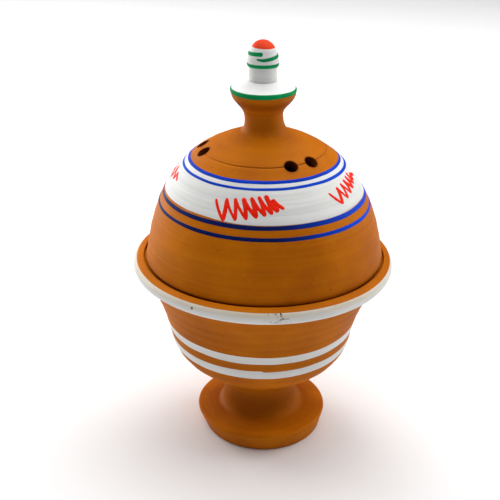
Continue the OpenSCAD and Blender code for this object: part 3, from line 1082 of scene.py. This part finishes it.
class POT_OT_bowl_bands(Operator):
    """Paint the white lip and the two white bands on the bowl"""

    bl_idname = "pot.bowl_bands"
    bl_label = "Paint the bowl's bands"

    def execute(self, context):
        p = paint()
        theta = round_angles()
        wall = Outline(bowl_walls())
        white = shared("white_paint", white_paint)
        places = {
            "bowl_band_low": (p.bowl_band_low, 21),
            "bowl_band_high": (p.bowl_band_high, 22),
        }
        for name, (z, seed) in places.items():
            middle = wall.along_z(z) + wavering(theta, seed, 0.7 * MM)
            half = p.bowl_band_w / 2 + wavering(theta, seed + 10, 0.35 * MM)
            step = 0.5 * MM * np.tanh(wrapped(theta - 0.03) / 0.012) * np.exp(-np.abs(wrapped(theta)) / 0.5)
            top = middle + half - (step if name == "bowl_band_low" else 0)
            vertices, quads = band(wall, "pot", middle - half, top, p.film)
            new_piece(name, vertices, quads, None, white, "pot")
        lip = Outline(lip_run())
        lip_top = BOWL_HI.z - clay().lip_rise
        start = lip.along_z(lip_top - clay().lip_h + 0.5 * MM)
        low = start + wavering(theta, 31, 0.5 * MM)
        high = lip.along[-1] - 0.2 * MM + wavering(theta, 32, 0.25 * MM)
        cracks = [(round_lip(7, 1 * MM), 2 * MM, 9 * MM)]
        dots = [(round_lip(-29, 2.6 * MM), 0.4 * MM, 1.1 * MM)]
        white = white_paint("worn_white_paint", None, lip_top - 2.6 * MM, cracks, dots)
        vertices, quads = band(lip, "pot", low, high, p.film, rows=16)
        new_piece("lip_band", vertices, quads, None, white, "pot")
        return {"FINISHED"}


def round_lip(degrees, below_top):
    """A place on the lip's edge, at an angle from the front and a depth below the lip's top."""
    at, r = math.radians(degrees), BOWL_HI.x - 0.4 * MM
    return (r * math.sin(at), -r * math.cos(at), BOWL_HI.z - clay().lip_rise - below_top)


class POT_OT_lid_bands(Operator):
    """Paint the lid's white field and its blue rings"""

    bl_idname = "pot.lid_bands"
    bl_label = "Paint the lid's bands"

    def execute(self, context):
        p = paint()
        theta = round_angles()
        outline = dome_outside()
        low = outline.along_z(p.white_low) + wavering(theta, 41, 0.5 * MM)
        # The white's lower edge rises away from the blue ring on the left side.
        low = low + 0.9 * MM * np.exp(-(((wrapped(theta + 1.1)) / 0.55) ** 2))
        high = outline.along_z(p.white_high) + wavering(theta, 42, 0.3 * MM)
        vertices, quads = band(outline, "lid", low, high, p.film, rows=30)
        white = shared("white_paint", white_paint)
        new_piece("lid_white_field", vertices, quads, None, white, "lid")
        blue = brush_paint("bright_blue_paint", tuple(p.blue), 0.7, 0.5)
        # The two lower rings are dark on the front and left and blue on the right: painted shade and painted
        # light.
        shaded_blue = brush_paint("shaded_blue_paint", tuple(p.shaded_blue), 0.7, 0.5, light=tuple(p.blue))
        for k, (z, width) in enumerate(zip(p.rings_z, p.rings_w)):
            middle = outline.along_z(z) + wavering(theta, 50 + k, 0.45 * MM)
            half = width / 2 * (1 + wavering(theta, 60 + k, 0.22))
            vertices, quads = band(outline, "lid", middle - half, middle + half, 2 * p.film, rows=8)
            shade = blue if k >= 2 else shaded_blue
            new_piece(f"blue_ring_{k + 1}", vertices, quads, None, shade, "lid")
        return {"FINISHED"}


# Each scribble: where its lower turns begin and how far round the lid they run, and the same for its upper
# turns, in degrees from the front; its pairs of turns; and the heights of its first lower and upper turn
# above the skirt, in millimetres along the dome.
SCRIBBLES = (
    (-22.4, 30.2, -22.8, 28.0, 7, 44.9, 56.8),
    (51.0, 26.0, 52.5, 25.0, 6, 48.8, 58.0),
    (123.0, 31.0, 125.0, 31.0, 7, 47.0, 57.5),
    (196.0, 32.0, 198.0, 31.0, 6, 47.5, 58.0),
    (-110.0, 31.0, -107.0, 29.0, 4, 47.0, 57.0),
)
# How far a scribble's lower and upper turns climb from its first to its last, in millimetres.
SCRIBBLE_CLIMB = (6.6, 4.2)


def scribble_turns(low_at, low_run, high_at, high_run, pairs, low, high):
    """Turning points of a zigzag that begins with a short hook and ends with a short fall. Its turns run as
    u + c u (1 - u), so that the strokes crowd together to the right, and climb evenly."""
    u = np.arange(pairs) / (pairs - 1)
    at = np.empty(2 * pairs + 2)
    height = np.empty_like(at)
    at[1:-1:2] = low_at + low_run * (u + 0.42 * u * (1 - u))
    at[2:-1:2] = high_at + high_run * (u + 0.2 * u * (1 - u))
    height[1:-1:2] = low + SCRIBBLE_CLIMB[0] * u
    height[2:-1:2] = high + SCRIBBLE_CLIMB[1] * u
    at[0], height[0] = low_at - 7.2, high - 1.4
    at[-1], height[-1] = high_at + high_run + 6.2, low + SCRIBBLE_CLIMB[0] + 1.4
    height[-2] -= 3
    return np.radians(at), height * MM


class POT_OT_scribbles(Operator):
    """Scribble the five red zigzags on the lid's white field"""

    bl_idname = "pot.scribbles"
    bl_label = "Scribble the zigzags"

    def execute(self, context):
        p = paint()
        outline = dome_outside()
        skirt_top = outline.along_z(DOME_LO.z + clay().skirt_h)
        red = brush_paint("scribble_red_paint", tuple(p.red), 0.85, 0.5, stretch=(260, 260, 260))
        for number, scribble in enumerate(SCRIBBLES):
            at, height = scribble_turns(*scribble)
            strokes = []
            for k in range(len(at) - 1):
                s = np.linspace(-0.06, 1.06, 29)
                rising = height[k + 1] > height[k]
                bow = 0.4 * MM * np.sin(math.pi * s) * (1 if rising else -1)
                theta = at[k] + (at[k + 1] - at[k]) * s + bow / (55 * MM)
                along = skirt_top + height[k] + (height[k + 1] - height[k]) * s
                wide = (1.38 if rising else 0.9 + 0.03 * k) * MM
                half = with_round_ends(wide * (1 + 0.12 * np.sin(3 * s + k)), 4)
                strokes.append(brush_stroke(outline, "lid", theta, along, half, 2.6 * p.film))
            vertices, quads, triangles = gathered(strokes)
            new_piece(f"scribble_{number + 1}", vertices, quads, triangles, red, "lid")
        return {"FINISHED"}


class POT_OT_disc_paint(Operator):
    """Paint the disc white with a green edge"""

    bl_idname = "pot.disc_paint"
    bl_label = "Paint the disc"

    def execute(self, context):
        p = paint()
        side = Outline(neck_side())
        theta = round_angles(192)
        edge_top = side.along_z(NECK_LO.z + clay().disc_under_h + clay().disc_edge_h - 0.2 * MM)
        white_start = edge_top - 0.6 * MM + 0 * theta
        white_end = side.along[-1] - 0.1 * MM + 0 * theta
        vertices, quads = band(side, "lid", white_start, white_end, p.film, 192, rows=16)
        # The disc's white is brighter than the rest: painted light on its top.
        white = white_paint("lit_white_paint", p.lit_white)
        new_piece("disc_white", vertices, quads, None, white, "lid")
        green = shared("brushed_green_paint", green_paint)
        thicker = 0.5 * MM * np.cos(theta + 0.7)
        low = edge_top - 2.4 * MM - thicker + wavering(theta, 71, 0.25 * MM)
        high = edge_top + 0.2 * MM + 0.4 * thicker + wavering(theta, 72, 0.2 * MM)
        vertices, quads = band(side, "lid", low, high, 2 * p.film, 192, rows=10)
        new_piece("disc_green_edge", vertices, quads, None, green, "lid")
        return {"FINISHED"}


class POT_OT_knob_paint(Operator):
    """Paint the egg's red cap, green ring and green spiral"""

    bl_idname = "pot.knob_paint"
    bl_label = "Paint the knob"

    def execute(self, context):
        p = paint()
        side = Outline(knob_side())
        green = shared("brushed_green_paint", green_paint)
        theta = round_angles(160)
        low = side.along_z(KNOB_LO.z + 8.4 * MM) + wavering(theta, 81, 0.2 * MM)
        high = side.along_z(KNOB_LO.z + 10.6 * MM) + wavering(theta, 82, 0.25 * MM)
        vertices, quads = band(side, "lid", low, high, 2 * p.film, 160, rows=10)
        new_piece("knob_green_ring", vertices, quads, None, green, "lid")
        # The spiral starts blunt at the front, runs left round the back, and tapers off below its start.
        s = np.linspace(0, 1, 180)
        turn = np.radians(0 - 385 * s)
        z = KNOB_LO.z + np.interp(s, [0, 0.7, 0.93, 1], [16.5, 15.0, 13.3, 13.7]) * MM
        along = np.interp(z, side.points[:, 1], side.along)
        half = with_round_ends(np.interp(s, [0, 0.15, 0.92, 1], [1.25, 1.05, 1.0, 0.45]) * MM, 3)
        vertices, quads, triangles = brush_stroke(side, "lid", turn, along, half, 2.2 * p.film)
        new_piece("knob_green_spiral", vertices, quads, triangles, green, "lid")
        red = brush_paint("red_cap_paint", tuple(p.cap_red), 0.85, 0.42, stretch=(200, 200, 200))
        low = side.along_z(KNOB_LO.z + 19.1 * MM) - 0.4 * MM * np.sin(round_angles(96))
        vertices, quads, triangles = cap(side, "lid", low, 2 * p.film)
        new_piece("knob_red_cap", vertices, quads, triangles, red, "lid")
        return {"FINISHED"}


class POT_OT_stage(Operator):
    """Set the pale floor, the soft lights and the camera"""

    bl_idname = "pot.stage"
    bl_label = "Set the stage"

    def execute(self, context):
        floor_mesh()
        middle = (0, 0, 0.12)
        soft_light("ceiling_light", (0.0, 0.5, 2.2), (0, 0.5, 0), 3.0, 3.0, 58)
        soft_light("back_ceiling_light", (0.0, 1.0, 1.8), (0, 0, 0.1), 1.6, 1.0, 9)
        soft_light("left_light", (-1.3, 0.45, 0.75), middle, 1.0, 1.2, 4.6)
        soft_light("left_back_light", (-1.2, 1.1, 0.35), middle, 1.0, 0.8, 16)
        soft_light("right_light", (1.3, 0.45, 0.75), middle, 1.0, 1.2, 11.8)
        soft_light("front_light", (0.0, -1.2, 1.6), middle, 1.2, 1.0, 4)
        world = bpy.data.worlds.new("studio")
        world.use_nodes = True
        background = world.node_tree.nodes["Background"]
        background.inputs["Color"].default_value = (1, 1, 1, 1)
        background.inputs["Strength"].default_value = 0.03
        context.scene.world = world
        context.scene.view_settings.view_transform = "Standard"
        set_camera(context)
        return {"FINISHED"}


def floor_mesh():
    """The floor: a square whose middle is flat and whose rim rises by the fourth power of the distance."""
    n, half = 60, 4.0
    u = np.linspace(-1, 1, n)
    x, y = np.meshgrid(u * half, u * half)
    rise = 0.5 * np.clip(np.hypot(x, y) / half - 0.5, 0, None) ** 4
    points = np.stack([x, y, rise - 0.0002], -1)
    quads = grid_faces(n, n, close_columns=False)
    mesh = bpy.data.meshes.new("floor")
    mesh.from_pydata(points.reshape(-1, 3).tolist(), [], quads.tolist())
    mesh.shade_smooth()
    mesh.materials.append(floor_material())
    floor = bpy.data.objects.new("floor", mesh)
    bpy.context.scene.collection.objects.link(floor)


def soft_light(name, place, aim, width, height, power):
    """An area light at a place, turned to face the aim."""
    light = bpy.data.lights.new(name, "AREA")
    light.shape = "RECTANGLE"
    light.size, light.size_y, light.energy = width, height, power
    lamp = bpy.data.objects.new(name, light)
    lamp.location = place
    lamp.rotation_euler = (Vector(aim) - Vector(place)).to_track_quat("-Z", "Y").to_euler()
    bpy.context.scene.collection.objects.link(lamp)


# Where the camera stands, from the middle of the base, and how it is turned, in metres and degrees.
CAMERA_BACK, CAMERA_UP = 0.5071, 0.3603
CAMERA_PITCH, CAMERA_YAW, CAMERA_ROLL = 25.04, 0.88, 0.53
CAMERA_LENS = 64.8


def set_camera(context):
    """The camera in front of the pot, looking down on it, turned a little left and rolled a little."""
    data = bpy.data.cameras.new("camera")
    data.lens, data.sensor_width = CAMERA_LENS, 36.0
    camera = bpy.data.objects.new("camera", data)
    context.scene.collection.objects.link(camera)
    camera.location = (0, -CAMERA_BACK, CAMERA_UP)
    look = Euler((math.radians(90 - CAMERA_PITCH), 0, math.radians(CAMERA_YAW))).to_matrix()
    roll = Euler((0, 0, math.radians(CAMERA_ROLL))).to_matrix()
    camera.rotation_euler = (look @ roll).to_euler()
    context.scene.camera = camera


class POT_PT_panel(Panel):
    """Lists the pot's steps in the order a potter takes them"""

    bl_idname = "POT_PT_panel"
    bl_label = "Footed clay pot"
    bl_space_type = "VIEW_3D"
    bl_region_type = "UI"
    bl_category = "Pot"

    def draw(self, context):
        for step in STEPS:
            self.layout.operator(step.bl_idname)
        for group in (context.scene.pot_clay, context.scene.pot_paint):
            column = self.layout.column()
            for name in group.bl_rna.properties.keys():
                if name not in ("rna_type", "name"):
                    column.prop(group, name)


STEPS = (
    POT_OT_foot, POT_OT_bowl, POT_OT_dome, POT_OT_neck, POT_OT_knob, POT_OT_bowl_bands,
    POT_OT_lid_bands, POT_OT_scribbles, POT_OT_disc_paint, POT_OT_knob_paint, POT_OT_stage,
)
CLASSES = (PotClay, PotPaint, *STEPS, POT_PT_panel)


def register():
    for cls in CLASSES:
        bpy.utils.register_class(cls)
    bpy.types.Scene.pot_clay = PointerProperty(type=PotClay)
    bpy.types.Scene.pot_paint = PointerProperty(type=PotPaint)


def unregister():
    del bpy.types.Scene.pot_paint
    del bpy.types.Scene.pot_clay
    for cls in reversed(CLASSES):
        bpy.utils.unregister_class(cls)


def main():
    """Registers the add-on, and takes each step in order."""
    register()
    for step in STEPS:
        group, name = step.bl_idname.split(".")
        getattr(getattr(bpy.ops, group), name)()


if __name__ == "__main__":
    main()
